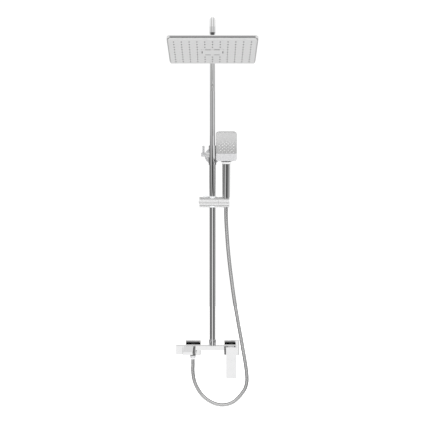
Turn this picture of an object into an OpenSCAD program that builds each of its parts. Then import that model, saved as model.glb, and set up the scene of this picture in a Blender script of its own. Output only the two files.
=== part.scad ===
// Rainfall shower column: bath and shower mixer, telescopic riser, rain head and hand shower.
// Millimetres. X runs along the wall, Z is up and the wall is the plane y = 0, with the room at -Y.
// The origin is on the wall, midway between the two water inlets. "d" is a distance from the wall.

/* [Water inlets] */
// Distance between the two wall inlets
inlet_pitch = 150; // [148:1:154]
// Side of the square escutcheons
escutcheon_w = 58; // [54:1:62]
// Thickness of the escutcheons
escutcheon_t = 9; // [8:1:10]

/* [Mixer] */
// Distance from the wall to the column's axis
axis_d = 48; // [48:1:52]
// Depth of the housings and the bar, front to back
body_depth = 36; // [36:1:38]
// Left end of the left housing
left_x0 = -114; // [-116:1:-113]
// Right end of the left housing
left_x1 = -64; // [-65:1:-62]
// Left end of the right housing
right_x0 = 43.5; // [42:0.5:46]
// Right end of the right housing
right_x1 = 91; // [90:1:94]
// Height of the body's top above the inlets
body_top = 16.5; // [16.5:0.5:18]
// Depth of the body's underside below the inlets
body_low = 16; // [16:0.5:17]
// Radius of the housings' inner front corners
shoulder_r = 12; // [8:1:14]
// Height of the flat bar between the housings
bar_h = 16; // [15:0.5:17]
// Length of the diverter knob
knob_len = 25.5; // [22:0.5:30]

/* [Lever] */
// Position of the lever along the wall
lever_x = 71; // [69:1:72]
// Width of the lever plate
lever_w = 40; // [34:1:42]
// Drop of the lever's end below the inlets
lever_drop = 99.7; // [80:0.1:120]
// Thickness of the lever plate
lever_t = 9; // [8:0.5:11]

/* [Spout] */
// Width of the flat spout
spout_w = 36.5; // [34:0.5:38]
// Reach of the spout in front of the body
spout_len = 120; // [100:5:160]
// Thickness of the spout
spout_t = 11; // [10:0.5:12]

/* [Riser] */
// Outer diameter of the lower tube
tube_od = 24; // [24:1:24]
// Height of the wall bracket
bracket_z = 747; // [740:1:760]
// Outer diameter of the telescopic tube and the arm
arm_od = 21; // [20:0.5:21]
// Height of the arm's horizontal part
arm_z = 1184; // [1170:1:1200]
// Height of the joint between the straight upper tube and the curved arm
arm_joint_z = 993; // [960:1:1040]
// Distance from the wall to the rain head's ball joint
drop_d = 379; // [340:1:420]
// Radius of the arm's rear bend
rear_bend = 60; // [50:1:70]
// Radius of the arm's front bend
front_bend = 30; // [26:1:36]

/* [Rain head] */
// Width of the rain head
head_w = 300; // [290:1:320]
// Depth of the rain head
head_l = 202; // [196:1:220]
// Height of the ball joint's centre
ball_z = 1102; // [1098:1:1106]
// Tilt of the rain head, front edge up
head_tilt = 11.6; // [0:0.1:14]
// Number of nozzles across
nozzle_cols = 11; // [11:2:11]
// Number of nozzles from front to back
nozzle_rows = 9; // [9:2:9]
// Spacing of the nozzles across
nozzle_dx = 25.5; // [24:0.5:26]
// Spacing of the nozzles from front to back
nozzle_dy = 20; // [19:0.5:21]

/* [Slider and hand shower] */
// Height of the slider on the riser
slider_z = 566; // [540:1:580]
// Radius of the slider's horizontal barrel
slider_r = 20; // [19.5:0.5:21]
// Distance of the hand shower's axis to the right of the riser
hand_x = 52; // [51.5:0.5:53]
// Forward tilt of the hand shower's handle
hand_tilt = 12; // [8:1:16]
// Radius of the handle
handle_r = 15.2; // [14:0.1:15.6]
// Width of the spray head
spray_w = 78; // [76:1:82]
// Length of the spray head
spray_l = 113; // [111:1:118]

/* [Hose] */
// Outer diameter of the hose
hose_od = 14; // [14:1:14]

/* [Hidden] */
$fn = 64;

chrome = "#cfd3d6";
satin = "#9ea3a7";
plastic = "#e4e6e8";
rubber = "#4b4f53";
brass = "#b9a36a";

inlet_x = inlet_pitch / 2;
body_back = axis_d - body_depth / 2;
body_front = axis_d + body_depth / 2;
bar_z0 = body_top - bar_h;
body_mid = (body_top - body_low) / 2;

// Inlet unions: male thread in the wall, then a collar and the thread that takes the nut
wall_thread_r = 10.45;
wall_thread_len = 20;
water_r = 7;
union_r = 12;
nut_thread_r = 13.1;
union_end_d = 18;
washer_t = 3;

// Lever cartridge: the pivot of the stem is the centre of the ball-shaped nut and of the lever's cup
pivot_d = body_front + 2;
cartridge_r = 12.4;
rotor_r = 8.9;
ball_nut_r = 14.2;
ball_nut_front = 9;
cup_in_r = 14.6;
cup_out_r = 16.2;
cup_rim = 7;
plate_back = pivot_d + 21;
plate_front = plate_back + lever_t;
stem_w = 6;
mark_r = 1.8;
mark_z = -28;

// Spout: rests against the housing's front, flush with its top
spout_x0 = left_x0 + 5;
spout_z0 = body_top + 0.2 - spout_t;
spout_mid_x = spout_x0 + spout_w / 2;

// Diverter and hose outlet
knob_x1 = left_x0 - 0.5;
knob_x0 = knob_x1 - knob_len;
spindle_r = 4;
outlet_x = -inlet_x;
outlet_nut_top = -21.6;
outlet_nut_low = -36;

// Riser: union nut, tubes and telescopic guide
tube_r = tube_od / 2;
tube_bore_r = tube_r - 1;
arm_r = arm_od / 2;
arm_bore_r = arm_r - 1;
union_nut_r = 14;
union_nut_h = 22;
flange_r = 12.9;
tube_z0 = body_top + 9.5;
tube_top = bracket_z - 4;
collar_r = 14.4;
collar_z0 = bracket_z - 38;
collar_z1 = bracket_z + 36;
lock_z = bracket_z + 1;
pin_seat = 4;
pin_x = -35;
guide_z0 = 470;
arm_z0 = 490;
rosette_r = 30.5;
rosette_t = 9;
base_r = 24;
wall_screw_gap = 30;

// Rain head, in a frame at the ball's centre
stem_end_z = 1134;
ball_r = 9;
liner_r = 9.9;
seat_r = 10.9;
socket_r = 11;
head_top = -20.5;
head_seam = -29.7;
head_low = -35;
head_corner = 15;

// Hand shower: s runs along the handle from the tilt axis, v along the spray head's face
holder_gap = 0.6;
barrel_x0 = -50;
barrel_x1 = 23;
holder_x1 = 64.5;
bush_r = 14;
cone_s0 = -22;
cone_s1 = 20;
cone_r0 = 9.6;
cone_r1 = 12.2;
handle_s1 = 150;
neck_s1 = 162;
spray_lean = 8;
face_n = 14.6;
face_t = 2;
shell_back = -9;
button_top = 30.5;

// Route of the hose, from the hand shower's cone down to the outlet under the mixer
hose_r = hose_od / 2;
hose_route = [
    [52, -43.4, 544.4], [52, -38.2, 520], [52.8, -35, 490], [55, -33, 455], [58, -32, 410],
    [62, -32, 365], [67, -33, 318], [73, -34, 270], [79, -36, 224], [86, -38, 177],
    [94, -40, 130], [102, -42, 84], [110.5, -44, 38], [118.5, -46, -8], [126, -48, -52],
    [131, -49, -90], [132, -50, -120], [126, -51, -146], [114, -51, -166], [98, -51, -185],
    [80, -51, -200], [60, -50, -209], [38, -50, -212], [16, -50, -209], [-5, -49, -201],
    [-24, -49, -189], [-41, -48, -173], [-55, -48, -153], [-66, -48, -131], [-73, -48, -105],
    [-75.5, -48, -78], [-75, -48, -60], [-75, -48, -36],
];
hose_sides = 12;

// ---- Shared shapes ----

module rod_x(r, x0, x1, d = axis_d, z = 0) {
    translate([x0, -d, z]) rotate([0, 90, 0]) cylinder(r = r, h = x1 - x0);
}

module rod_d(r, d0, d1, x = 0, z = 0) {
    translate([x, -d0, z]) rotate([90, 0, 0]) cylinder(r = r, h = d1 - d0);
}

module rod_z(r, z0, z1, x = 0, d = axis_d) {
    translate([x, -d, z0]) cylinder(r = r, h = z1 - z0);
}

module block(x, d, z) {
    translate([x[0], -d[1], z[0]]) cube([x[1] - x[0], d[1] - d[0], z[1] - z[0]]);
}

module ring_z(r_out, r_in, z0, z1) {
    difference() {
        rod_z(r_out, z0, z1);
        rod_z(r_in, z0 - 1, z1 + 1);
    }
}

// A rectangle about the origin with round corners
module round_rect(w, h, r) {
    square([w - 2 * r, h], center = true);
    square([w, h - 2 * r], center = true);
    for (x = [-1, 1], y = [-1, 1])
        translate([x * (w / 2 - r), y * (h / 2 - r)]) circle(r);
}

// A flat plate with round corners, drawn from z0 to z1
module plate(w, h, r, z0, z1) {
    translate([0, 0, z0]) linear_extrude(z1 - z0) round_rect(w, h, r);
}

// A hexagonal prism along the distance from the wall
module hex_d(flats, d0, d1, x) {
    translate([x, -d0, 0]) rotate([90, 0, 0]) rotate(30)
        cylinder(r = flats / sqrt(3), h = d1 - d0, $fn = 6);
}

// ---- Mixer ----

// A housing seen from above: a rectangle whose inner front corner is round
module housing_plan(x0, x1, round_left) {
    cx = round_left ? x0 + shoulder_r : x1 - shoulder_r;
    flat_x0 = round_left ? x0 + shoulder_r : x0;
    translate([x0, -body_front + shoulder_r]) square([x1 - x0, body_depth - shoulder_r]);
    translate([flat_x0, -body_front]) square([x1 - x0 - shoulder_r, shoulder_r + 1]);
    translate([cx, -body_front + shoulder_r]) circle(shoulder_r);
}

module housing(x0, x1, round_left) {
    translate([0, 0, -body_low]) linear_extrude(body_top + body_low)
        housing_plan(x0, x1, round_left);
}

// Tail of an inlet: a flange that the union nut pulls against the washer
module inlet_tail(x) {
    rod_d(9.5, union_end_d + washer_t, body_back + 1, x);
    rod_d(12.6, union_end_d + washer_t, union_end_d + washer_t + 3, x);
}

module mixer_body() {
    bridge_z = bar_z0 + bar_h / 2;
    color(chrome) difference() {
        union() {
            housing(left_x0, left_x1, false);
            housing(right_x0, right_x1, true);
            block([left_x1 - 1, right_x0 + 1], [body_back, body_front], [bar_z0, body_top]);
            inlet_tail(-inlet_x);
            inlet_tail(inlet_x);
            rod_z(12.85, body_top - 1, body_top + 7.5);
        }
        for (x = [-inlet_x, inlet_x])
            rod_d(water_r, union_end_d, body_back + 4.2, x);
        rod_d(cartridge_r, body_back + 4, body_front + 1, lever_x);
        rod_d(13.2, body_front - 8, body_front + 1, lever_x);
        rod_x(5, -90, lever_x - 8, axis_d, bridge_z);
        rod_z(8, bridge_z, body_top + 8);
        rod_x(9, left_x0 - 1, -90, axis_d, body_mid);
        rod_z(7.5, -body_low - 1, -4, outlet_x);
        rod_z(2, -body_low - 1, spout_z0 + 2, spout_mid_x, body_front - 4);
        block([spout_mid_x - 12, spout_mid_x + 12], [body_front - 8, body_front + 1],
            [spout_z0 + 2, spout_z0 + 9]);
    }
}

// Square cover with sloping edges, hollow at the wall
module inlet_escutcheon(x) {
    slope = 2;
    w = escutcheon_w;
    t = escutcheon_t;
    color(chrome) difference() {
        hull() {
            block([x - w / 2, x + w / 2], [0, t - slope], [-w / 2, w / 2]);
            block([x - w / 2 + slope, x + w / 2 - slope], [0, t], [-w / 2 + slope, w / 2 - slope]);
        }
        block([x - w / 2 + 3, x + w / 2 - 3], [-1, t - 2.5], [-w / 2 + 3, w / 2 - 3]);
        rod_d(union_r + 0.2, -1, t + 1, x);
    }
}

module inlet_union(x) {
    color(brass) difference() {
        union() {
            rod_d(wall_thread_r, -wall_thread_len, 0, x);
            rod_d(union_r, 0, 10, x);
            rod_d(nut_thread_r, 10, union_end_d, x);
        }
        rod_d(water_r, -wall_thread_len - 1, union_end_d + 1, x);
    }
}

module inlet_nut(x) {
    color(chrome) difference() {
        hex_d(30, 10.5, 26.5, x);
        rod_d(nut_thread_r, 10, union_end_d + washer_t + 3, x);
        rod_d(9.6, 10, 30, x);
    }
}

module inlet_filters() {
    color(rubber) for (x = [-inlet_x, inlet_x])
        difference() {
            rod_d(12.6, union_end_d, union_end_d + washer_t, x);
            rod_d(6, union_end_d - 1, union_end_d + washer_t + 1, x);
        }
}

module spout() {
    mid_z = spout_z0 + spout_t / 2;
    tip = body_front + spout_len;
    color(chrome) difference() {
        union() {
            block([spout_x0, spout_x0 + spout_w], [body_front, tip],
                [spout_z0, spout_z0 + spout_t]);
            block([spout_mid_x - 12, spout_mid_x + 12], [body_front - 8, body_front + 1],
                [spout_z0 + 2, spout_z0 + 9]);
        }
        block([spout_x0 + 3, spout_x0 + spout_w - 3], [body_front + 5, tip - 3],
            [mid_z - 3, mid_z + 3]);
        rod_d(2.5, body_front - 9, body_front + 6, spout_mid_x, mid_z);
        block([spout_mid_x - 14, spout_mid_x + 14], [tip - 19, tip - 7], [spout_z0 - 1, mid_z]);
    }
}

module spout_aerator() {
    tip = body_front + spout_len;
    color(plastic) difference() {
        block([spout_mid_x - 14, spout_mid_x + 14], [tip - 19, tip - 7],
            [spout_z0 - 0.5, spout_z0 + 2.5]);
        for (i = [-4 : 4], d = [tip - 17, tip - 12.5])
            block([spout_mid_x + 3 * i - 1, spout_mid_x + 3 * i + 1], [d, d + 3],
                [spout_z0 - 1, spout_z0 + 3]);
    }
}

module spout_screw() {
    color(satin) difference() {
        rod_z(2, -12, spout_z0 + 2, spout_mid_x, body_front - 4);
        translate([spout_mid_x, -body_front + 4, -13]) cylinder(r = 1.1, h = 3, $fn = 6);
    }
}

// ---- Lever ----

module lever_cartridge() {
    color(plastic) difference() {
        rod_d(cartridge_r, body_back + 4, body_front, lever_x);
        rod_d(rotor_r + 0.05, body_back + 20, body_front + 1, lever_x);
        for (x = [-5, 5])
            rod_d(2.5, body_back + 3, body_back + 21, lever_x + x);
    }
}

// Nut with a ball-shaped front, screwed into the housing, turned about its own axis
module cartridge_retaining_nut() {
    thread_h = 8;
    front_h = pivot_d + ball_nut_front - body_front;
    color(chrome) translate([lever_x, -body_front, 0]) rotate([90, 0, 0]) difference() {
        rotate_extrude() {
            translate([0, -thread_h]) square([13.2, thread_h]);
            intersection() {
                translate([0, pivot_d - body_front]) circle(ball_nut_r);
                square([ball_nut_r + 1, front_h]);
            }
        }
        translate([0, 0, -thread_h - 1]) cylinder(r = cartridge_r, h = thread_h + 1);
        cylinder(r = 9.5, h = front_h + 1);
    }
}

module cartridge_rotor() {
    slot = stem_w / 2 + 0.1;
    color(plastic) difference() {
        rod_d(rotor_r, body_back + 20.1, pivot_d + 4, lever_x);
        block([lever_x - slot, lever_x + slot], [body_back + 24, pivot_d + 5],
            [-rotor_r - 1, rotor_r + 1]);
        rod_x(1.55, lever_x - rotor_r - 1, lever_x + rotor_r + 1, pivot_d, 0);
    }
}

// Square stem with its cross pin
module cartridge_stem() {
    half = stem_w / 2;
    color(brass) union() {
        block([lever_x - half, lever_x + half], [pivot_d - 12, plate_back - 1], [-half, half]);
        rod_x(1.5, lever_x - 8, lever_x + 8, pivot_d, 0);
    }
}

module lever_handle() {
    length = lever_drop + body_top;
    half = stem_w / 2 + 0.02;
    color(chrome) difference() {
        union() {
            translate([lever_x, -plate_back, (body_top - lever_drop) / 2]) rotate([90, 0, 0])
                linear_extrude(lever_t) round_rect(lever_w, length, 1);
            intersection() {
                translate([lever_x, -pivot_d, 0]) sphere(cup_out_r);
                rod_d(cup_out_r + 1, pivot_d + cup_rim, plate_back, lever_x);
            }
            rod_d(11, pivot_d + cup_rim, plate_back + 1, lever_x);
        }
        intersection() {
            translate([lever_x, -pivot_d, 0]) sphere(cup_in_r);
            rod_d(cup_out_r, pivot_d, plate_back, lever_x);
        }
        block([lever_x - half, lever_x + half], [pivot_d, plate_back - 1], [-half, half]);
        rod_z(2, -20, 0, lever_x, plate_back - 3.5);
        for (side = [-1, 1])
            rod_d(mark_r, plate_front - 1, plate_front + 1, lever_x + side * 12.3, mark_z);
    }
}

module lever_screw() {
    color(satin) difference() {
        rod_z(2, -9, -stem_w / 2, lever_x, plate_back - 3.5);
        translate([lever_x, -plate_back + 3.5, -10]) cylinder(r = 1.1, h = 3, $fn = 6);
    }
}

module lever_index_marks() {
    color(satin) for (side = [-1, 1])
        rod_d(mark_r, plate_front - 1, plate_front + 0.1, lever_x + side * 12.3, mark_z);
}

// ---- Diverter and hose outlet ----

module diverter_cartridge() {
    color(brass) difference() {
        rod_x(9, left_x0, -90, axis_d, body_mid);
        rod_x(spindle_r + 0.05, left_x0 - 1, -100, axis_d, body_mid);
    }
}

module diverter_spindle() {
    color(brass) difference() {
        rod_x(spindle_r, knob_x1 - 12, -100.2, axis_d, body_mid);
        block([knob_x1 - 13, knob_x1 - 2], [axis_d - 5, axis_d + 5],
            [body_mid + spindle_r - 1, body_mid + spindle_r + 1]);
    }
}

module diverter_knob() {
    color(chrome) difference() {
        block([knob_x0, knob_x1], [body_back, body_front], [-body_low, body_top]);
        difference() {
            rod_x(spindle_r, knob_x1 - 12, knob_x1 + 1, axis_d, body_mid);
            block([knob_x1 - 13, knob_x1 - 2], [axis_d - 5, axis_d + 5],
                [body_mid + spindle_r - 1, body_mid + spindle_r + 1]);
        }
        difference() {
            rod_x(13, knob_x1 - 6, knob_x1 + 1, axis_d, body_mid);
            rod_x(7, knob_x1 - 7, knob_x1 + 2, axis_d, body_mid);
        }
    }
}

module hose_outlet_nipple() {
    color(brass) difference() {
        union() {
            rod_z(7.5, -body_low, -4, outlet_x);
            rod_z(10, -32, -body_low, outlet_x);
        }
        rod_z(5, -33, -3, outlet_x);
    }
}

// Tapered nut that holds the hose on the outlet
module hose_outlet_nut() {
    color(chrome) difference() {
        translate([outlet_x, -axis_d, outlet_nut_low]) rotate_extrude()
            polygon([[0, 0], [7.5, 0], [11.7, 6], [11.7, outlet_nut_top - outlet_nut_low],
                [0, outlet_nut_top - outlet_nut_low]]);
        rod_z(10, -32, -20, outlet_x);
        rod_z(4, outlet_nut_low - 1, -31, outlet_x);
    }
}

// ---- Riser ----

module riser_union_nut() {
    color(chrome) difference() {
        rod_z(union_nut_r, body_top + 0.1, body_top + union_nut_h);
        rod_z(flange_r, body_top, tube_z0 + 3);
        rod_z(tube_r + 0.05, body_top, body_top + union_nut_h + 1);
    }
}

// Seal under the lower tube and seal at the collar's top
module riser_seals() {
    color(rubber) ring_z(12.5, 8, body_top + 7.5, tube_z0);
    color(rubber) ring_z(12.1, arm_r + 0.05, collar_z1 - 8, collar_z1 - 4);
}

module lower_tube() {
    color(chrome) difference() {
        union() {
            rod_z(tube_r, tube_z0, tube_top);
            rod_z(flange_r - 0.1, tube_z0, tube_z0 + 3);
        }
        rod_z(tube_bore_r, tube_z0 - 1, tube_top + 1);
    }
}

module riser_collar() {
    color(chrome) difference() {
        union() {
            rod_z(collar_r, collar_z0, collar_z1);
            rod_x(8.5, -26, 0, axis_d, lock_z);
        }
        rod_z(tube_r + 0.02, collar_z0 - 1, tube_top);
        rod_z(arm_r + 0.1, collar_z0, collar_z1 + 1);
        rod_z(12.2, collar_z1 - 8, collar_z1 - 4);
        rod_x(3.05, -27, 0, axis_d, lock_z);
        rod_d(4, axis_d - collar_r - 1, axis_d - 12.2, 0, bracket_z);
    }
}

// Rod that carries the collar, with a threaded end in the collar and a socket at the wall
module bracket_arm() {
    back = axis_d - collar_r;
    color(chrome) difference() {
        union() {
            difference() {
                rod_d(9, rosette_t - 2, axis_d - 6, 0, bracket_z);
                rod_z(collar_r, collar_z0, collar_z1);
            }
            rod_d(4, back - 1, axis_d - 12.3, 0, bracket_z);
        }
        rod_d(6.02, 0, 20, 0, bracket_z);
        rod_z(2, bracket_z - 10, bracket_z, 0, 14);
    }
}

module wall_base() {
    color(satin) difference() {
        union() {
            rod_d(base_r, 0, 5, 0, bracket_z);
            rod_d(6, 0, 19.5, 0, bracket_z);
        }
        for (side = [-1, 1])
            rod_d(2.3, -1, 6, 0, bracket_z + side * wall_screw_gap / 2);
    }
}

module wall_rosette() {
    color(chrome) difference() {
        rod_d(rosette_r, 0, rosette_t, 0, bracket_z);
        rod_d(base_r + 3, -1, rosette_t - 2, 0, bracket_z);
        rod_d(9.1, -1, rosette_t + 1, 0, bracket_z);
    }
}

module wall_screws() {
    color(satin) for (side = [-1, 1])
        translate([0, 0, bracket_z + side * wall_screw_gap / 2]) difference() {
            union() {
                rod_d(2.25, -35, 0);
                rod_d(2, 0, 5.5);
                rod_d(4.2, 5, 6.9);
            }
            block([-0.5, 0.5], [6, 8], [-3, 3]);
        }
}

module lock_screw() {
    color(chrome) difference() {
        union() {
            rod_x(7.5, -43.8, -26.1, axis_d, lock_z);
            rod_x(3, -27, -arm_r - 0.05, axis_d, lock_z);
        }
        rod_z(4.2, lock_z + pin_seat, lock_z + 10, pin_x);
    }
}

module lock_lever_pin() {
    color(satin) rod_z(4.2, lock_z + pin_seat, lock_z + 34, pin_x);
}

module tube_guide_plug() {
    color(plastic) difference() {
        union() {
            rod_z(tube_bore_r - 0.05, guide_z0, arm_z0);
            rod_z(arm_bore_r, arm_z0 - 1, arm_z0 + 15);
        }
        rod_z(6, guide_z0 - 1, arm_z0 + 16);
    }
}

// Straight tube that slides in the lower tube
module upper_tube() {
    color(chrome) difference() {
        rod_z(arm_r, arm_z0, arm_joint_z - 0.4);
        rod_z(arm_bore_r, arm_z0 - 1, arm_joint_z + 1);
    }
}

// Centre line of the arm with radius r: up, a bend, forward, a bend and down
module arm_solid(r) {
    rear_z = arm_z - rear_bend;
    front_d = drop_d - front_bend;
    rod_z(r, arm_joint_z, rear_z);
    translate([0, -axis_d - rear_bend, rear_z]) rotate([90, 0, 90])
        rotate_extrude(angle = 90) translate([rear_bend, 0]) circle(r);
    rod_d(r, axis_d + rear_bend, front_d, 0, arm_z);
    translate([0, -front_d, arm_z - front_bend]) rotate([90, 0, -90])
        rotate_extrude(angle = 90) translate([front_bend, 0]) circle(r);
    rod_z(r, stem_end_z, arm_z - front_bend, 0, drop_d);
}

// Bent arm, with a spigot in the top of the straight tube
module curved_arm() {
    spigot = 30;
    color(chrome) difference() {
        union() {
            arm_solid(arm_r);
            rod_z(arm_bore_r - 0.02, arm_joint_z - spigot, arm_joint_z + 1);
        }
        arm_solid(arm_bore_r - 1);
        rod_z(arm_bore_r - 1, arm_joint_z - spigot - 1, arm_joint_z + 1);
        rod_z(arm_bore_r, stem_end_z - 1, stem_end_z + 14, 0, drop_d);
    }
}

module ball_stud() {
    color(satin) difference() {
        union() {
            rod_z(arm_bore_r, stem_end_z, stem_end_z + 14, 0, drop_d);
            rod_z(5.4, ball_z, stem_end_z + 1, 0, drop_d);
            translate([0, -drop_d, ball_z]) sphere(ball_r);
        }
        rod_z(3, ball_z - ball_r - 1, stem_end_z + 15, 0, drop_d);
    }
}

// ---- Rain head ----

module in_head() {
    translate([0, -drop_d, ball_z]) rotate([-head_tilt, 0, 0]) children();
}

// Lower part of a ball-shaped cup round the ball, with a hole for the water
module cup(r_out, r_in) {
    difference() {
        intersection() {
            sphere(r_out);
            translate([0, 0, -r_out - 1]) cylinder(r = r_out + 1, h = r_out + 4);
        }
        sphere(r_in);
        translate([0, 0, -r_out - 1]) cylinder(r = 4, h = r_out);
    }
}

module ball_liner() {
    color(plastic) in_head() cup(liner_r, ball_r + 0.05);
}

module ball_seat() {
    color(plastic) in_head() cup(seat_r, liner_r + 0.05);
}

module head_nut() {
    color(chrome) in_head() difference() {
        translate([0, 0, -9]) cylinder(r = 14, h = 16);
        translate([0, 0, -10]) cylinder(r = 12.2, h = 9);
        sphere(socket_r + 0.05);
    }
}

module head_cover() {
    color(chrome) in_head() difference() {
        union() {
            plate(head_w, head_l, head_corner, head_seam, head_top);
            translate([0, 0, head_top - 1]) cylinder(r = 12.15, h = -head_top);
            translate([0, 0, head_top - 1]) cylinder(r = 17, h = 4);
        }
        plate(head_w - 16, head_l - 16, head_corner - 8, head_seam - 1, head_top - 3);
        plate(head_w - 8, head_l - 8, head_corner - 4, head_seam - 1, head_seam + 1);
        translate([0, 0, head_top - 4]) cylinder(r = 4, h = 20);
        sphere(socket_r);
    }
}

module head_gasket() {
    color(rubber) in_head() difference() {
        plate(head_w - 8, head_l - 8, head_corner - 4, head_seam, head_seam + 1);
        plate(head_w - 16, head_l - 16, head_corner - 8, head_seam - 1, head_seam + 2);
    }
}

// Every nozzle's place except the nine under the centre plate
module at_nozzles() {
    half_c = (nozzle_cols - 1) / 2;
    half_r = (nozzle_rows - 1) / 2;
    for (c = [-half_c : half_c], r = [-half_r : half_r])
        if (abs(c) > 1 || abs(r) > 1)
            translate([c * nozzle_dx, r * nozzle_dy, 0]) children();
}

// Slopes the lower edge of a plate w by l wide at z, by c across
module slope_edges(w, l, z, c) {
    for (turn = [0 : 90 : 270])
        rotate([0, 0, turn]) translate([(turn % 180 == 0 ? w : l) / 2, 200, z])
            rotate([90, 0, 0]) linear_extrude(400)
                polygon([[-c - 1, -1], [1, -1], [1, c + 1]]);
}

module head_faceplate() {
    color(chrome) in_head() difference() {
        plate(head_w - 2, head_l - 2, head_corner - 1, head_low, head_seam);
        slope_edges(head_w - 2, head_l - 2, head_low, 4);
        translate([0, 0, head_low + 1.5])
            linear_extrude(6) round_rect(head_w - 16, head_l - 16, head_corner - 8);
        at_nozzles() translate([0, 0, head_low - 1]) cylinder(r = 2.1, h = 4);
        plate(64, 34, 2, head_low - 1, head_seam + 1);
    }
}

module head_nozzles() {
    color(rubber) in_head() at_nozzles() translate([0, 0, head_low - 0.7]) difference() {
        union() {
            cylinder(r = 2.1, h = 2.2);
            translate([0, 0, 2.2]) cylinder(r = 2.9, h = 0.6);
        }
        translate([0, 0, -1]) cylinder(r = 0.7, h = 5);
    }
}

module head_centre_plate() {
    slot_y = 17;
    color(chrome) in_head() difference() {
        union() {
            plate(76, 46, 3, head_low - 1, head_low);
            plate(64, 34, 2, head_low - 0.5, head_low + 2);
        }
        for (x = [-15, 15], y = [-slot_y, slot_y])
            translate([x, y + sign(y) * 3, head_low - 2]) linear_extrude(1.7)
                round_rect(20, 3.2, 1.5);
        for (x = [-35, 35])
            translate([x, 0, head_low - 2]) linear_extrude(1.7) round_rect(3.2, 18, 1.5);
    }
}

// ---- Slider and holder ----

module slider_bush() {
    color(plastic) difference() {
        union() {
            rod_z(bush_r, slider_z - slider_r, slider_z + slider_r + 0.2);
            rod_z(bush_r + 1.4, slider_z + slider_r + 0.2, slider_z + slider_r + 2);
        }
        rod_z(tube_r + 0.06, slider_z - slider_r - 1, slider_z + slider_r + 3);
    }
}

module slider_barrel() {
    color(chrome) difference() {
        rod_x(slider_r, barrel_x0, barrel_x1, axis_d, slider_z);
        rod_z(bush_r + 0.06, slider_z - slider_r - 1, slider_z + slider_r + 1);
        block([-35.3, -16.7], [axis_d - 7.3, axis_d + 7.3], [slider_z - 1, slider_z + 30]);
        rod_x(4, 16, barrel_x1 + 1, axis_d, slider_z);
    }
}

module slider_end_cap() {
    dome_r = 12.4;
    cap_r = 8;
    color(chrome) translate([barrel_x0, -axis_d, slider_z]) rotate([0, -90, 0])
        rotate_extrude() intersection() {
            translate([0, 3 - dome_r]) circle(dome_r);
            square([cap_r, 5]);
        }
}

module slider_spring() {
    color(satin) difference() {
        rod_z(4.5, slider_z - 1, slider_z + 8.9, -26);
        rod_z(3.5, slider_z - 2, slider_z + 10, -26);
    }
}

module slider_button() {
    color(plastic) difference() {
        block([-35, -17], [axis_d - 7, axis_d + 7], [slider_z + 9, slider_z + 28]);
        for (i = [-2 : 2])
            block([-26 + 3 * i - 0.5, -26 + 3 * i + 0.5], [axis_d - 8, axis_d + 8],
                [slider_z + 27.4, slider_z + 29]);
    }
}

// Shoulder screw on which the holder tilts
module holder_screw() {
    color(satin) union() {
        rod_x(4, 16, barrel_x1, axis_d, slider_z);
        rod_x(6, barrel_x1, 36, axis_d, slider_z);
        rod_x(8, 36, 38.6, axis_d, slider_z);
    }
}

// Frame of the hand shower: Z runs up along the handle
module in_hand() {
    translate([hand_x, -axis_d, slider_z]) rotate([hand_tilt, 0, 0]) children();
}

module cone(extra) {
    translate([0, 0, cone_s0]) cylinder(r1 = cone_r0 + extra, r2 = cone_r1 + extra,
        h = cone_s1 - cone_s0);
}

module handset_holder() {
    color(chrome) difference() {
        rod_x(slider_r, barrel_x1 + holder_gap, holder_x1, axis_d, slider_z);
        rod_x(6.06, barrel_x1, 36, axis_d, slider_z);
        rod_x(8.3, 35.9, 44, axis_d, slider_z);
        in_hand() cone(0.35);
        in_hand() translate([0, -7.6, -30]) cube([30, 15.2, 60]);
    }
}

// ---- Hand shower ----

module hose_cone_nut() {
    color(chrome) in_hand() difference() {
        cone(0);
        translate([0, 0, 0]) cylinder(r = 8, h = 21);
        translate([0, 0, cone_s0 - 1]) cylinder(r = 4, h = 30);
    }
}

module handset_handle() {
    color(chrome) in_hand() difference() {
        union() {
            translate([0, 0, cone_s1]) cylinder(r = handle_r, h = handle_s1 - cone_s1);
            cylinder(r = 8, h = cone_s1 + 1);
        }
        translate([0, 0, -1]) cylinder(r = 6, h = handle_s1 + 2);
    }
}

module in_spray() {
    in_hand() translate([0, 0, neck_s1]) rotate([spray_lean, 0, 0]) children();
}

// Collar that widens from the round handle to the flat spray head
module handset_neck_ring() {
    color(plastic) in_hand() difference() {
        union() {
            hull() {
                translate([0, 0, handle_s1]) cylinder(r = handle_r, h = 1, $fn = 48);
                translate([0, -2.5, neck_s1 - 1.5]) linear_extrude(4) round_rect(42, 20, 9);
            }
            translate([0, 0, handle_s1 - 12]) cylinder(r = 6, h = 13);
        }
        translate([0, 0, handle_s1 - 13]) cylinder(r = 4, h = 40);
        translate([0, 0, neck_s1]) rotate([spray_lean, 0, 0])
            translate([-40, -40, 0]) cube([80, 80, 30]);
    }
}

// Outline of the spray head, v upward from its lower edge, drawn from n0 to n1 towards the user
module spray_slab(inset, n0, n1) {
    translate([0, -n0, spray_l / 2]) rotate([90, 0, 0]) linear_extrude(n1 - n0)
        round_rect(spray_w - 2 * inset, spray_l - 2 * inset, 10 - inset * 0.7);
}

module handset_shell() {
    color(chrome) in_spray() difference() {
        hull() {
            spray_slab(0, 4, face_n - face_t);
            spray_slab(7, shell_back, 0, $fn = 32);
        }
        spray_slab(2.5, 2, face_n);
        translate([-50, -face_n, -10]) cube([100, face_t + 1.3, button_top + 10.6]);
        translate([0, -3, -3]) cylinder(r = 4, h = 12);
    }
}

module handset_face() {
    color(satin) in_spray() difference() {
        spray_slab(0.4, face_n - face_t, face_n);
        translate([-50, -face_n - 1, -10]) cube([100, face_t + 2, button_top + 10.4]);
        at_spray_nozzles() cylinder(r = 1.5, h = 6, center = true);
    }
}

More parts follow.
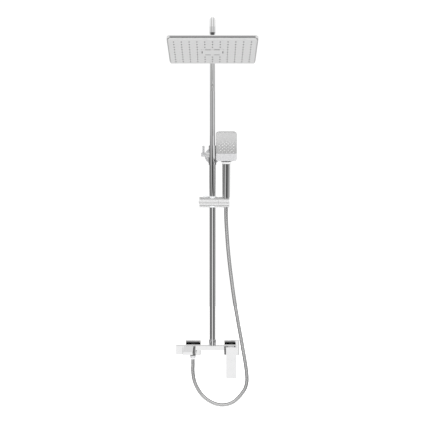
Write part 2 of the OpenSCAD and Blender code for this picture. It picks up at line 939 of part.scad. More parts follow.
// Seven staggered rows on the face
module at_spray_nozzles() {
    row_gap = 6.4;
    first_row = 36.5;
    for (row = [0 : 6])
        for (x = row % 2 == 0 ? [-27.7, -13.9, 0, 13.9, 27.7] : [-20.8, -7, 7, 20.8])
            translate([x, -face_n, first_row + row * row_gap]) rotate([90, 0, 0]) children();
}

module handset_nozzles() {
    color("white") in_spray() at_spray_nozzles() translate([0, 0, -face_t]) difference() {
        cylinder(r = 1.5, h = face_t + 1.2);
        translate([0, 0, 0.4]) cylinder(r = 0.6, h = 4);
    }
}

// Wide key under the face that is pressed to change the spray
module handset_mode_button() {
    color(plastic) in_spray() union() {
        difference() {
            spray_slab(0.4, face_n - face_t, face_n);
            translate([-50, -face_n - 1, button_top]) cube([100, face_t + 2, spray_l]);
        }
        translate([0, -face_n + 8, button_top / 2 + 2]) rotate([90, 0, 0])
            cylinder(r = 3, h = 7);
    }
}

// ---- Hose ----

function unit(v) = v / norm(v);
function last(list) = len(list) - 1;
function heading(p, i) = unit(p[min(i + 1, last(p))] - p[max(i - 1, 0)]);
// Point at share t of the way between two route points on a smooth curve
function between(p, i, t) =
    let (a = p[max(i - 1, 0)], b = p[i], c = p[i + 1], e = p[min(i + 2, last(p))])
    0.5 * (2 * b + (c - a) * t + (2 * a - 5 * b + 4 * c - e) * t * t
        + (3 * b - a - 3 * c + e) * t * t * t);
function smooth(p, spans) = concat(
    [for (i = [0 : last(p) - 1], k = [0 : spans - 1]) between(p, i, k / spans)],
    [p[last(p)]]);
// Two directions across the hose: one near Y, and one across it
function across(dir) = unit(cross(dir, [0, 1, 0]));
function ring(centre, dir, r, sides) =
    let (a = across(dir), b = cross(a, dir))
    [for (k = [0 : sides - 1]) centre + r * (cos(360 * k / sides) * a + sin(360 * k / sides) * b)];

module swept_tube(route, r, sides) {
    line = smooth(route, 2);
    n = len(line);
    points = [for (i = [0 : n - 1])
        each ring(line[i], i == 0 ? unit([0, 0.208, -0.978]) : heading(line, i), r, sides)];
    walls = [for (i = [0 : n - 2], k = [0 : sides - 1])
        let (m = (k + 1) % sides)
        [i * sides + k, i * sides + m, (i + 1) * sides + m, (i + 1) * sides + k]];
    triangles = [for (w = walls) each [[w[0], w[1], w[2]], [w[0], w[2], w[3]]]];
    first_cap = [for (k = [sides - 1 : -1 : 0]) k];
    last_cap = [for (k = [0 : sides - 1]) (n - 1) * sides + k];
    polyhedron(points, concat([first_cap], triangles, [last_cap]));
}

module shower_hose() {
    color(satin) swept_tube(hose_route, hose_r, hose_sides);
}

mixer_body();
inlet_escutcheon(-inlet_x);  // inlet_escutcheon_left
inlet_escutcheon(inlet_x);  // inlet_escutcheon_right
inlet_union(-inlet_x);  // inlet_union_left
inlet_union(inlet_x);  // inlet_union_right
inlet_nut(-inlet_x);  // inlet_nut_left
inlet_nut(inlet_x);  // inlet_nut_right
inlet_filters();
lever_cartridge();
cartridge_retaining_nut();
cartridge_rotor();
cartridge_stem();
lever_handle();
lever_screw();
lever_index_marks();
diverter_cartridge();
diverter_spindle();
diverter_knob();
spout();
spout_aerator();
spout_screw();
hose_outlet_nipple();
hose_outlet_nut();
riser_union_nut();
riser_seals();
lower_tube();
riser_collar();
bracket_arm();
wall_base();
wall_rosette();
wall_screws();
lock_screw();
lock_lever_pin();
tube_guide_plug();
upper_tube();
curved_arm();
ball_stud();
ball_liner();
ball_seat();
head_nut();
head_cover();
head_gasket();
head_faceplate();
head_nozzles();
head_centre_plate();
slider_bush();
slider_barrel();
slider_end_cap();
slider_spring();
slider_button();
holder_screw();
handset_holder();
hose_cone_nut();
handset_handle();
handset_neck_ring();
handset_shell();
handset_face();
handset_nozzles();
handset_mode_button();
shower_hose();
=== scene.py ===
"""Rainfall shower column: bath mixer, telescopic riser, rain head and hand shower on a metal hose."""

import math

import bpy
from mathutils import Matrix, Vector


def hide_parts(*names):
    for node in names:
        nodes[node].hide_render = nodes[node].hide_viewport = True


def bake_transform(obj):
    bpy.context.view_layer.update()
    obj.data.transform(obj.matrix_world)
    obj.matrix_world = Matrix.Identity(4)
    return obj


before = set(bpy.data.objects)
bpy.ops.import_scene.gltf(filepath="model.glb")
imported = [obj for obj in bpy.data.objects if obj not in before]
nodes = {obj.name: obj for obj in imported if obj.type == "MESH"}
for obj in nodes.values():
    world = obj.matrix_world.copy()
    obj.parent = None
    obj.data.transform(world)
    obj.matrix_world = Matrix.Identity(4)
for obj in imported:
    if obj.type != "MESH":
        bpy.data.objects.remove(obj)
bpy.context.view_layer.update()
MM = 0.001


# ---- Camera ----


def make_camera():
    """Level camera in front of the column, a little over half a metre above the inlets."""
    camera = bpy.data.objects.new("camera", bpy.data.cameras.new("camera"))
    bpy.context.scene.collection.objects.link(camera)
    camera.location = (0.0, -2.84, 0.5264)
    camera.rotation_euler = (math.radians(90), 0, 0)
    camera.data.sensor_width = 36
    camera.data.lens = 61.58
    camera.data.clip_start = 0.05
    camera.data.clip_end = 60
    bpy.context.scene.camera = camera


make_camera()


# ---- Node expressions ----


class Wire:
    """A socket in a node tree; arithmetic on it adds Math nodes."""

    def __init__(self, tree, socket):
        self.tree = tree
        self.socket = socket

    def _math(self, operation, first, second=None):
        return self.tree.node(
            "ShaderNodeMath", {"operation": operation}, {0: first, 1: second}
        ).out()

    def __add__(self, other):
        return self._math("ADD", self, other)

    __radd__ = __add__

    def __mul__(self, other):
        return self._math("MULTIPLY", self, other)

    __rmul__ = __mul__

    def __sub__(self, other):
        return self._math("SUBTRACT", self, other)

    def __rsub__(self, other):
        return self._math("SUBTRACT", other, self)

    def __truediv__(self, other):
        return self._math("DIVIDE", self, other)

    def __lt__(self, other):
        return self._math("LESS_THAN", self, other)

    def __abs__(self):
        return self._math("ABSOLUTE", self)


class Placed:
    """A node that has been added, with its outputs by name or number."""

    def __init__(self, tree, node):
        self.tree = tree
        self.node = node

    def out(self, key=0):
        return Wire(self.tree, self.node.outputs[key])


class Tree:
    """A material's or the world's node tree."""

    def __init__(self, owner):
        owner.use_nodes = True
        self.nodes = owner.node_tree.nodes
        self.links = owner.node_tree.links

    def node(self, kind, settings=None, sockets=None):
        made = self.nodes.new(kind)
        for name, value in (settings or {}).items():
            if name == "stops":
                set_stops(made.color_ramp, value)
            else:
                setattr(made, name, value)
        for key, value in (sockets or {}).items():
            self.feed(made.inputs[key], value)
        return Placed(self, made)

    def feed(self, socket, value):
        if value is None:
            return
        if isinstance(value, Wire):
            self.links.new(value.socket, socket)
        else:
            socket.default_value = value

    def mix(self, factor, first, second):
        """Colour between first and second."""
        made = self.node("ShaderNodeMix", {"data_type": "RGBA"}, {"Factor": factor})
        self.feed(made.node.inputs[6], first)
        self.feed(made.node.inputs[7], second)
        return made.out(2)

    def between(self, value, start, end, low=0.0, high=1.0):
        """A smooth ramp of value from low at start to high at end."""
        return self.node(
            "ShaderNodeMapRange",
            {"interpolation_type": "SMOOTHSTEP"},
            {"Value": value, "From Min": start, "From Max": end, "To Min": low, "To Max": high},
        ).out()

    def within(self, value, half, blur):
        """1 where value lies within half of zero, falling to 0 over a blur to each side of that edge."""
        return self.between(abs(value), half + blur, half - blur)

    def noise(self, scale, detail=2.0):
        """Noise over the piece, with scale in cycles a metre."""
        place = self.node("ShaderNodeTexCoord").out("Object")
        return self.node(
            "ShaderNodeTexNoise", None, {"Vector": place, "Scale": scale, "Detail": detail}
        ).out()


def set_stops(ramp, stops):
    """Gives a colour ramp these places and colours, and no others."""
    while len(ramp.elements) > 1:
        ramp.elements.remove(ramp.elements[-1])
    for i, (place, colour) in enumerate(stops):
        element = ramp.elements[0] if i == 0 else ramp.elements.new(place)
        element.position = place
        element.color = colour


def rgb(value, tint=(1, 1, 1)):
    """A grey of this value, or the tint times it."""
    return tuple(value * t for t in tint) + (1.0,)


# ---- Finishes ----

finishes = {}
# Tone and polish of the clean chrome, and the two tones of its clouding where painted reflections and
# shade darken part of it
CHROME = 0.86
CHROME_POLISH = 0.035
CHROME_CLOUDS = (0.83, 0.87)
# The spray head's upward direction, and how far along it the neck's upper end lies
SPRAY_UP = (0.0, -0.342, 0.9397)
NECK_END = 0.7087
# The dark line's lower edge below the neck's end, and where the spray face's painted light starts and ends
JOIN_LINE_DEPTH = 0.0032
PALE_FROM, PALE_FULL = 0.03, 0.1
# The rain head's upward direction, how far along it the centre plate begins, and above that the rim's lip
HEAD_UP = (0.0, 0.2011, 0.9796)
PLATE_LOW = 0.9673
RIM_LIP = 0.0112
# The rain head's backward direction, how far along it the centre plate's middle lies, and its slots' reach
HEAD_BACK = (0.0, 0.9796, -0.2011)
PLATE_MID = -0.5929
SLOTS_ACROSS, SLOTS_DEEP = 0.0375, 0.0225
# Middle and half width of the painted dark reflection patches on the two wall plates, across and up
REFLECTION_PATCH_LEFT = (-0.0755, 0.0255)
REFLECTION_PATCH_RIGHT = (0.0685, 0.0195)
REFLECTION_PATCH_UP = (0.0125, 0.012)
# Heights between which the lower tube's painted reflection line fades in
REFLECTION_LINE_FROM, REFLECTION_LINE_FULL = 0.56, 0.62


def finish(name):
    """Makes a finish from a function that fills its tree and shader, and keeps it by name."""

    def keep(paint):
        material = bpy.data.materials.new(name)
        tree = Tree(material)
        shader = tree.nodes["Principled BSDF"]
        paint(tree, shader.inputs)
        finishes[name] = material
        return paint

    return keep


def plated(tree, sockets, shade, rough, wear=0.05):
    """Metal plating: faint clouding in tone and polish, and the slight waviness of buffed metal."""
    sockets["Metallic"].default_value = 1.0
    cloud = tree.noise(55, 3)
    tree.feed(sockets["Base Color"], tree.mix(cloud, rgb(shade * 0.96), rgb(shade * 1.02, (1, 1, 1.01))))
    tree.feed(sockets["Roughness"], tree.between(tree.noise(140, 4), 0.3, 0.75, rough, rough + wear))
    bump = tree.node(
        "ShaderNodeBump", None, {"Strength": 0.04, "Distance": 0.0004, "Height": tree.noise(35, 1)}
    )
    tree.feed(sockets["Normal"], bump.out())


def moulded(tree, sockets, colour, rough, grain=900):
    """Moulded plastic or silicone: fine grain, and a little unevenness in tone and gloss."""
    dark = rgb(0.93, colour)
    tree.feed(sockets["Base Color"], tree.mix(tree.noise(120, 2), dark, rgb(1.0, colour)))
    tree.feed(sockets["Roughness"], tree.between(tree.noise(200, 3), 0.3, 0.7, rough, rough + 0.1))
    bump = tree.node(
        "ShaderNodeBump",
        None,
        {"Strength": 0.12, "Distance": 0.00008, "Height": tree.noise(grain, 2)},
    )
    tree.feed(sockets["Normal"], bump.out())


def facing(tree, axis):
    """How far the surface turns to one axis of its piece, from -1 to 1."""
    normal = tree.node("ShaderNodeTexCoord").out("Normal")
    return tree.node("ShaderNodeSeparateXYZ", None, {0: normal}).out(axis)


def along(tree, direction):
    """How far a point of the piece lies along a direction."""
    place = tree.node("ShaderNodeTexCoord").out("Object")
    return tree.node(
        "ShaderNodeVectorMath", {"operation": "DOT_PRODUCT"}, {0: place, 1: direction}
    ).out("Value")


def painted_reflection_bands(tree, sockets, axis, stops):
    """Satin chrome with painted reflection bands running around the piece, under a clear gloss."""
    sockets["Roughness"].default_value = 0.35
    sockets["Coat Weight"].default_value = 0.4
    sockets["Coat Roughness"].default_value = 0.06
    tones = [(place, rgb(shade)) for place, shade in stops]
    ramp = tree.node(
        "ShaderNodeValToRGB", {"stops": tones}, {0: facing(tree, axis) * 0.5 + 0.5}
    )
    tree.feed(
        sockets["Base Color"], tree.mix(tree.noise(60, 2) * 0.15, ramp.out("Color"), rgb(0.4))
    )


def painted_reflection_and_shade(tree, sockets, mask, clouds, shade):
    """Paints reflections and shade into plating: darkens it to a shade where the mask is 1, and leaves the
    two clouded tones elsewhere.
    """
    cloud = tree.mix(tree.noise(55, 3), rgb(clouds[0]), rgb(clouds[1]))
    tree.feed(sockets["Base Color"], tree.mix(mask, cloud, rgb(shade)))


def silver_paint(tree, dark, pale):
    """A paint's tone, a little uneven between two greys."""
    return tree.mix(tree.noise(120), rgb(dark), rgb(pale))


@finish("polished_chrome")
def polished_chrome(tree, sockets):
    plated(tree, sockets, CHROME, CHROME_POLISH)


@finish("riser_chrome")
def riser_chrome(tree, sockets):
    """Chrome, with a painted dark reflection line down the front of its upper end."""
    plated(tree, sockets, CHROME, CHROME_POLISH)
    line = tree.within(facing(tree, 0), 0.17, 0.07) * (facing(tree, 1) < 0)
    upper = tree.between(along(tree, (0, 0, 1)), REFLECTION_LINE_FROM, REFLECTION_LINE_FULL)
    painted_reflection_and_shade(tree, sockets, line * upper, CHROME_CLOUDS, 0.3)


@finish("arm_chrome")
def arm_chrome(tree, sockets):
    """Chrome, with two painted grey reflection lines along the front."""
    plated(tree, sockets, 0.95, CHROME_POLISH)
    line = tree.within(abs(facing(tree, 0)) - 0.38, 0.13, 0.07) * (facing(tree, 1) < 0)
    painted_reflection_and_shade(tree, sockets, line, (0.94, 0.98), 0.6)


@finish("handle_chrome")
def handle_chrome(tree, sockets):
    """Chrome, with a painted dark reflection in a narrow line down the front."""
    plated(tree, sockets, 0.95, 0.06)
    line = tree.within(facing(tree, 0) - 0.06, 0.14, 0.06) * (facing(tree, 1) < 0)
    painted_reflection_and_shade(tree, sockets, line, (0.92, 0.96), 0.28)


@finish("body_chrome")
def body_chrome(tree, sockets):
    """Chrome in front, satin on top, and painted shade darkening the faces turned to the wall."""
    plated(tree, sockets, CHROME, CHROME_POLISH)
    back = tree.between(facing(tree, 1), 0.5, 0.8)
    top = tree.between(facing(tree, 2), 0.8, 0.95)
    painted_reflection_and_shade(tree, sockets, back, CHROME_CLOUDS, 0.05)
    tree.feed(sockets["Roughness"], CHROME_POLISH + 0.4 * back + 0.36 * top)


@finish("rim_chrome")
def rim_chrome(tree, sockets):
    """Chrome, with a painted dark reflection along the rim's long edges below their bright lip."""
    plated(tree, sockets, CHROME, 0.05)
    below_lip = along(tree, HEAD_UP) < PLATE_LOW + RIM_LIP
    long_edge = tree.between(abs(facing(tree, 1)), 0.9, 0.96)
    painted_reflection_and_shade(tree, sockets, long_edge * below_lip, CHROME_CLOUDS, 0.26)


@finish("holder_chrome")
def holder_chrome(tree, sockets):
    """Painted reflection bands, in tones from the underside, 0, to the top, 1."""
    stops = [
        (0.0, 0.52), (0.08, 0.54), (0.17, 0.28), (0.25, 0.56), (0.34, 0.6), (0.41, 0.4),
        (0.5, 0.52), (0.59, 0.66), (0.68, 0.66), (0.78, 0.42), (0.87, 0.37), (0.96, 0.42),
    ]
    painted_reflection_bands(tree, sockets, 2, stops)


@finish("soft_chrome")
def soft_chrome(tree, sockets):
    plated(tree, sockets, 0.92, 0.26, 0.01)


# Chrome in a dark tone: painted shade on the nuts and nipple set under and between other parts
@finish("dark_chrome")
def dark_chrome(tree, sockets):
    plated(tree, sockets, 0.25, 0.2)


@finish("face_silver")
def face_silver(tree, sockets):
    """Silver paint, with a painted highlight on the long sloping edges and painted shade on the end ones.
    """
    moulded(tree, sockets, (0.42, 0.42, 0.425), 0.3)
    slope = tree.between(facing(tree, 2), -0.93, -0.86)
    end = tree.between(abs(facing(tree, 0)), 0.3, 0.6)
    edge = tree.mix(end, rgb(0.5), rgb(0.26))
    tree.feed(sockets["Base Color"], tree.mix(slope, silver_paint(tree, 0.4, 0.43), edge))


@finish("slotted_silver")
def slotted_silver(tree, sockets):
    """Silver paint on the plate's face, with a painted highlight on its edges and painted shade in its
    slots.
    """
    moulded(tree, sockets, (0.43, 0.43, 0.435), 0.3)
    deep = tree.between(along(tree, HEAD_UP), PLATE_LOW + 0.0001, PLATE_LOW + 0.0002)
    across = abs(along(tree, (1, 0, 0))) < SLOTS_ACROSS
    fore = abs(along(tree, HEAD_BACK) - PLATE_MID) < SLOTS_DEEP
    paint = tree.mix(deep, silver_paint(tree, 0.41, 0.44), rgb(0.75))
    tree.feed(sockets["Base Color"], tree.mix(deep * across * fore, paint, rgb(0.04)))


@finish("satin_nickel")
def satin_nickel(tree, sockets):
    moulded(tree, sockets, (0.52, 0.52, 0.53), 0.3, 300)
    sockets["Metallic"].default_value = 0.1


@finish("pale_nickel")
def pale_nickel(tree, sockets):
    moulded(tree, sockets, (0.74, 0.74, 0.75), 0.25)
    sockets["Metallic"].default_value = 0.2


@finish("escutcheon_chrome")
def escutcheon_chrome(tree, sockets):
    """Chrome with a painted dark reflection patch behind the mixer's body."""
    plated(tree, sockets, CHROME, CHROME_POLISH)
    across = along(tree, (1, 0, 0))
    left, right = [tree.within(across - middle, half, 0.001) for middle, half in (REFLECTION_PATCH_LEFT, REFLECTION_PATCH_RIGHT)]
    middle, half = REFLECTION_PATCH_UP
    tall = tree.within(along(tree, (0, 0, 1)) - middle, half, 0.0008)
    painted_reflection_and_shade(tree, sockets, (left + right) * tall, CHROME_CLOUDS, 0.2)


@finish("satin_steel")
def satin_steel(tree, sockets):
    plated(tree, sockets, 0.42, 0.28, 0.12)


@finish("dark_steel")
def dark_steel(tree, sockets):
    plated(tree, sockets, 0.14, 0.28)


@finish("hose_steel")
def hose_steel(tree, sockets):
    """Stainless conduit, with a painted highlight along its front and painted shade towards its outline.
    """
    plated(tree, sockets, 0.8, 0.2, 0.02)
    front = tree.between(abs(facing(tree, 1)), 0.62, 0.9)
    cloud = tree.mix(tree.noise(70, 3), rgb(0.9), rgb(1.0))
    tree.feed(sockets["Base Color"], tree.mix(front, rgb(0.33), cloud))


@finish("machined_brass")
def machined_brass(tree, sockets):
    sockets["Metallic"].default_value = 1.0
    cloud = tree.mix(tree.noise(90, 3), (0.62, 0.46, 0.2, 1), (0.74, 0.58, 0.3, 1))
    tree.feed(sockets["Base Color"], cloud)
    tree.feed(sockets["Roughness"], tree.between(tree.noise(300, 4), 0.3, 0.7, 0.22, 0.4))


@finish("pale_plastic")
def pale_plastic(tree, sockets):
    moulded(tree, sockets, (0.8, 0.81, 0.82), 0.25)


@finish("white_silicone")
def white_silicone(tree, sockets):
    moulded(tree, sockets, (0.86, 0.86, 0.86), 0.45)


@finish("grey_silicone")
def grey_silicone(tree, sockets):
    moulded(tree, sockets, (0.3, 0.31, 0.32), 0.5)


@finish("dark_silicone")
def dark_silicone(tree, sockets):
    moulded(tree, sockets, (0.02, 0.02, 0.02), 0.7)
    sockets["Specular IOR Level"].default_value = 0.2


@finish("mark_grey")
def mark_grey(tree, sockets):
    moulded(tree, sockets, (0.6, 0.61, 0.62), 0.35)


@finish("spray_face")
def spray_face(tree, sockets):
    """Silver paint with painted light that pales it towards the top."""
    moulded(tree, sockets, (0.36, 0.365, 0.37), 0.3)
    high = tree.between(along(tree, SPRAY_UP), NECK_END + PALE_FROM, NECK_END + PALE_FULL)
    tree.feed(sockets["Base Color"], tree.mix(high, silver_paint(tree, 0.31, 0.33), rgb(0.45)))


@finish("key_silver")
def key_silver(tree, sockets):
    moulded(tree, sockets, (0.52, 0.52, 0.53), 0.3)


@finish("neck_plastic")
def neck_plastic(tree, sockets):
    """White plastic with a dark line where it meets the spray head."""
    moulded(tree, sockets, (0.7, 0.7, 0.71), 0.25)
    join_line_edge = NECK_END - JOIN_LINE_DEPTH
    join_line = tree.between(along(tree, SPRAY_UP), join_line_edge - 0.0002, join_line_edge + 0.0002)
    white = tree.mix(tree.noise(120), rgb(0.66), rgb(0.72))
    tree.feed(sockets["Base Color"], tree.mix(join_line, white, rgb(0.03)))


WORN_BY = {
    "polished_chrome": [
        "cartridge_retaining_nut", "lever_handle", "diverter_knob", "spout",
        "riser_union_nut", "riser_collar", "bracket_arm", "upper_tube",
    ],
    "riser_chrome": ["lower_tube"],
    "arm_chrome": ["curved_arm"],
    "body_chrome": ["mixer_body"],
    "rim_chrome": ["head_cover"],
    "holder_chrome": ["slider_barrel", "slider_end_cap", "handset_holder"],
    "soft_chrome": ["hose_cone_nut"],
    "satin_nickel": ["lock_lever_pin", "lock_screw"],
    "pale_nickel": ["hose_outlet_nut"],
    "escutcheon_chrome": ["inlet_escutcheon_left", "inlet_escutcheon_right"],
    "dark_chrome": ["head_nut", "hose_outlet_nipple", "inlet_nut_left", "inlet_nut_right"],
    "handle_chrome": ["handset_handle", "handset_shell"],
    "face_silver": ["head_faceplate"],
    "slotted_silver": ["head_centre_plate"],
    "satin_steel": [
        "lever_screw", "spout_screw", "wall_base", "wall_screws", "slider_spring",
        "holder_screw",
    ],
    "dark_steel": ["ball_stud"],
    "machined_brass": [
        "inlet_union_left", "inlet_union_right", "cartridge_stem", "diverter_cartridge",
        "diverter_spindle",
    ],
    "pale_plastic": [
        "lever_cartridge", "cartridge_rotor", "spout_aerator", "tube_guide_plug", "ball_liner",
        "ball_seat", "slider_bush", "slider_button",
    ],
    "grey_silicone": ["inlet_filters", "riser_seals", "head_gasket"],
    "dark_silicone": ["head_nozzles"],
    "neck_plastic": ["handset_neck_ring"],
    "key_silver": ["handset_mode_button", "wall_rosette"],
    "mark_grey": ["lever_index_marks"],
    "spray_face": ["handset_face"],
    "white_silicone": ["handset_nozzles"],
    "hose_steel": ["shower_hose"],
}


for finish_name, wearers in WORN_BY.items():
    for wearer in wearers:
        slots = nodes[wearer].data.materials
        slots.clear()
        slots.append(finishes[finish_name])


# ---- Hose ----

# From the cone nut at the handset down and round to the outlet under the mixer
HOSE_ROUTE = [
    (0.052, -0.0434, 0.5444), (0.052, -0.0382, 0.52), (0.0528, -0.035, 0.49),
    (0.055, -0.033, 0.455), (0.058, -0.032, 0.41), (0.062, -0.032, 0.365),
    (0.067, -0.033, 0.318), (0.073, -0.034, 0.27), (0.079, -0.036, 0.224),
    (0.086, -0.038, 0.177), (0.094, -0.04, 0.13), (0.102, -0.042, 0.084),
    (0.1105, -0.044, 0.038), (0.1185, -0.046, -0.008), (0.126, -0.048, -0.052),
    (0.131, -0.049, -0.09), (0.132, -0.05, -0.12), (0.126, -0.051, -0.146),
    (0.114, -0.051, -0.166), (0.098, -0.051, -0.185), (0.08, -0.051, -0.2),
    (0.06, -0.05, -0.209), (0.038, -0.05, -0.212), (0.016, -0.05, -0.209),
    (-0.005, -0.049, -0.201), (-0.024, -0.049, -0.189), (-0.041, -0.048, -0.173),
    (-0.055, -0.048, -0.153), (-0.066, -0.048, -0.131), (-0.073, -0.048, -0.105),
    (-0.0755, -0.048, -0.078), (-0.075, -0.048, -0.06), (-0.075, -0.048, -0.036),
]
HOSE_RADIUS = 0.007
HOSE_BAND = 4 * MM
HOSE_GROOVE = 0.55 * MM
RINGS_A_BAND = 4
HOSE_SIDES = 20
CURVE_STEPS = 24


def smooth_line(points, step):
    """The points of a smooth curve through the route, about a step apart, and the curve's length."""
    points = [Vector(p) for p in points]
    fine = []
    for i in range(len(points) - 1):
        before = points[max(i - 1, 0)]
        a, b = points[i], points[i + 1]
        after = points[min(i + 2, len(points) - 1)]
        for k in range(CURVE_STEPS):
            t = k / CURVE_STEPS
            fine.append(
                0.5
                * (
                    2 * a
                    + (b - before) * t
                    + (2 * before - 5 * a + 4 * b - after) * t * t
                    + (3 * a - before - 3 * b + after) * t**3
                )
            )
    fine.append(points[-1])
    run = [0.0]
    for a, b in zip(fine, fine[1:]):
        run.append(run[-1] + (b - a).length)
    count = max(2, round(run[-1] / step))
    line, at = [], 0
    for k in range(count + 1):
        goal = run[-1] * k / count
        while at < len(run) - 2 and run[at + 1] < goal:
            at += 1
        share = (goal - run[at]) / (run[at + 1] - run[at])
        line.append(fine[at].lerp(fine[at + 1], share))
    return line, run[-1]


def link_piece(name, mesh, material):
    """Puts a mesh into the scene in one material."""
    piece = bpy.data.objects.new(name, mesh)
    bpy.context.scene.collection.objects.link(piece)
    mesh.materials.append(material)
    return piece


def tube_rings(line, radii, sides):
    """Rings of points along a line, each square to it, and the faces that join them."""
    verts, faces = [], []
    across = None
    for i, centre in enumerate(line):
        ahead = (line[min(i + 1, len(line) - 1)] - line[max(i - 1, 0)]).normalized()
        if across is None:
            across = ahead.orthogonal().normalized()
        across = (across - ahead * across.dot(ahead)).normalized()
        other = ahead.cross(across)
        for k in range(sides):
            turn = 2 * math.pi * k / sides
            verts.append(centre + radii[i] * (math.cos(turn) * across + math.sin(turn) * other))
    for i in range(len(line) - 1):
        for k in range(sides):
            m = (k + 1) % sides
            a, b = i * sides, (i + 1) * sides
            faces.append((a + k, a + m, b + m, b + k))
    faces.append(tuple(range(sides))[::-1])
    last = (len(line) - 1) * sides
    faces.append(tuple(range(last, last + sides)))
    return verts, faces


def make_hose():
    """Interlocked metal hose: a row of bands with a groove between one and the next."""
    line, length = smooth_line(HOSE_ROUTE, HOSE_BAND / RINGS_A_BAND)
    radii = [HOSE_RADIUS] * len(line)
    for i in range(1, len(line) - 1, RINGS_A_BAND):
        radii[i] -= HOSE_GROOVE
    verts, faces = tube_rings(line, radii, HOSE_SIDES)
    mesh = bpy.data.meshes.new("metal_hose")
    mesh.from_pydata(verts, [], faces)
    mesh.validate()
    mesh.shade_smooth()
    hose = link_piece("metal_hose", mesh, finishes["hose_steel"])
    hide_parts("shower_hose")
    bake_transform(hose)


make_hose()


# ---- Softened edges ----

# Millimetres
EDGE_WIDTHS = {
    "mixer_body": 0.7, "diverter_knob": 0.7, "spout": 0.6, "lever_handle": 0.2,
    "inlet_escutcheon_left": 0.5, "inlet_escutcheon_right": 0.5, "slider_barrel": 0.8,
    "handset_holder": 0.8, "slider_button": 1.0, "riser_collar": 0.7, "wall_rosette": 1.0,
    "lock_screw": 0.7, "lock_lever_pin": 0.6, "riser_union_nut": 0.6, "hose_outlet_nut": 0.5,
    "head_nut": 0.8, "hose_cone_nut": 0.4, "slider_end_cap": 0.4, "inlet_nut_left": 0.5,
    "inlet_nut_right": 0.5,
}


def soften(node_name, width):
    """Rounds a CAD piece's sharp edges by a bevel, width in millimetres."""
    piece = nodes[node_name]
    weld = piece.modifiers.new("weld", "WELD")
    weld.merge_threshold = 0.00001
    bevel = piece.modifiers.new("edge", "BEVEL")
    bevel.width = width * MM
    bevel.segments = 3
    bevel.limit_method = "ANGLE"
    bevel.angle_limit = math.radians(38)
    even = piece.modifiers.new("even", "WEIGHTED_NORMAL")
    even.weight = 90


for node_name, width in EDGE_WIDTHS.items():
    soften(node_name, width)


# ---- Studio ----

COLUMN_MIDDLE = Vector((0, 0, 0.5))
FLOOR_Z = -1.0
FLOOR_TONES = ((0.9, 0.9, 0.9, 1), (0.93, 0.93, 0.93, 1))


def make_floor():
    """Pale floor well below the column, bright enough to run into the white room."""
    mesh = bpy.data.meshes.new("floor")
    corners = [(x, y, FLOOR_Z) for x, y in ((-9, -5), (9, -5), (9, 9), (-9, 9))]
    mesh.from_pydata(corners, [], [(0, 1, 2, 3)])
    material = bpy.data.materials.new("floor")
    tree = Tree(material)
    sockets = tree.nodes["Principled BSDF"].inputs
    tree.feed(sockets["Base Color"], tree.mix(tree.noise(3), *FLOOR_TONES))
    sockets["Roughness"].default_value = 0.9
    sockets["Emission Color"].default_value = (1, 1, 1, 1)
    sockets["Emission Strength"].default_value = 0.8
    floor = link_piece("floor", mesh, material)
    floor.visible_glossy = False


# Brightness round the horizon by compass angle: 0.5 is the camera's side, 0.75 the viewer's right
LOW_CARDS = [
    (0.0, 0.62), (0.14, 0.6), (0.22, 0.3), (0.29, 0.12), (0.37, 0.16), (0.43, 0.34), (0.465, 0.4),
    (0.478, 1.0), (0.528, 1.0), (0.545, 0.3), (0.6, 0.09), (0.67, 0.14), (0.74, 0.4), (0.86, 0.62),
]
LEVEL_CARDS = [
    (0.0, 0.15), (0.14, 0.12), (0.3, 0.22), (0.4, 0.46), (0.455, 0.4), (0.47, 0.03),
    (0.55, 0.03), (0.59, 0.36), (0.64, 0.32), (0.71, 0.1), (0.8, 0.14), (0.9, 0.25),
]
HIGH_CARDS = [
    (0.0, 0.75), (0.08, 0.75), (0.16, 0.5), (0.27, 0.36), (0.37, 0.5), (0.46, 0.52), (0.48, 0.22),
    (0.53, 0.22), (0.57, 0.76), (0.65, 0.7), (0.72, 0.36), (0.82, 0.45), (0.9, 0.85),
]
STEEP_CARDS = [
    (0.0, 0.5), (0.18, 0.45), (0.3, 0.38), (0.39, 0.34), (0.44, 0.4), (0.46, 0.75), (0.49, 0.7),
    (0.51, 0.05), (0.56, 0.05), (0.63, 0.22), (0.7, 0.42), (0.86, 0.42),
]


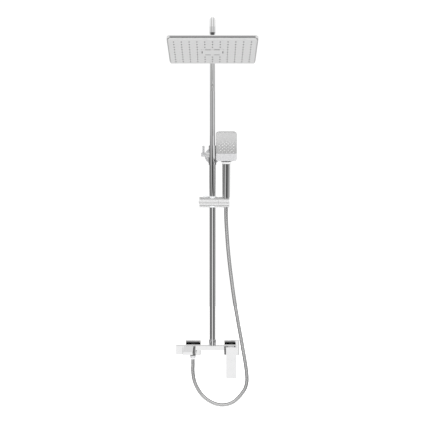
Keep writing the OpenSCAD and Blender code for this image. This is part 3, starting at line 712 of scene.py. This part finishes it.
def make_world():
    """White room for the camera; for reflections, light cards and dark flags that differ below,
    at and above the horizon."""
    world = bpy.data.worlds.new("studio")
    bpy.context.scene.world = world
    tree = Tree(world)
    background = tree.nodes["Background"]
    way = tree.node("ShaderNodeTexCoord").out("Generated")
    split = tree.node("ShaderNodeSeparateXYZ", None, {0: way})
    side, depth, up = split.out(0), split.out(1), split.out(2)
    turn = tree.node("ShaderNodeMath", {"operation": "ARCTAN2"}, {0: side, 1: -1 * depth}).out()
    compass = turn / (2 * math.pi) + 0.5

    def cards(stops):
        painted = [(place, rgb(value)) for place, value in stops]
        return tree.node("ShaderNodeValToRGB", {"stops": painted}, {"Fac": compass}).out()

    band = tree.mix(tree.between(up, 0.012, 0.045), cards(LOW_CARDS), cards(LEVEL_CARDS))
    band = tree.mix(tree.between(up, -0.26, -0.32), band, cards(STEEP_CARDS))
    band = tree.mix(tree.between(up, 0.07, 0.12), band, cards(HIGH_CARDS))
    rear = tree.between(depth, -0.1, 0.1)
    overhead = tree.mix(rear, rgb(0.8), rgb(0.85))
    beneath = tree.mix(rear, rgb(0.85), rgb(0.82))
    band = tree.mix(tree.between(up, 0.13, 0.34), band, overhead)
    band = tree.mix(tree.between(up, -0.62, -0.8), band, beneath)
    band = tree.mix(rear * tree.between(up, -0.3, -0.5), band, rgb(0.8))
    seen = tree.node("ShaderNodeLightPath").out("Is Camera Ray")
    tree.feed(background.inputs["Color"], tree.mix(seen, band, rgb(1.05)))


def soft_light(name, place, size, power):
    """Large soft lamp aimed at the column's middle, and not mirrored in the chrome."""
    light = bpy.data.lights.new(name, "AREA")
    light.shape = "RECTANGLE"
    light.size, light.size_y = size
    light.energy = power
    lamp = bpy.data.objects.new(name, light)
    lamp.location = place
    lamp.rotation_euler = (COLUMN_MIDDLE - Vector(place)).to_track_quat("-Z", "Y").to_euler()
    lamp.visible_glossy = False
    bpy.context.scene.collection.objects.link(lamp)


make_floor()
make_world()
soft_light("left_softbox", (-2.0, -2.2, 2.2), (1.5, 1.5), 40)
soft_light("right_softbox", (2.2, -1.8, 1.2), (1.5, 2.0), 25)
bpy.context.scene.view_settings.view_transform = "Standard"
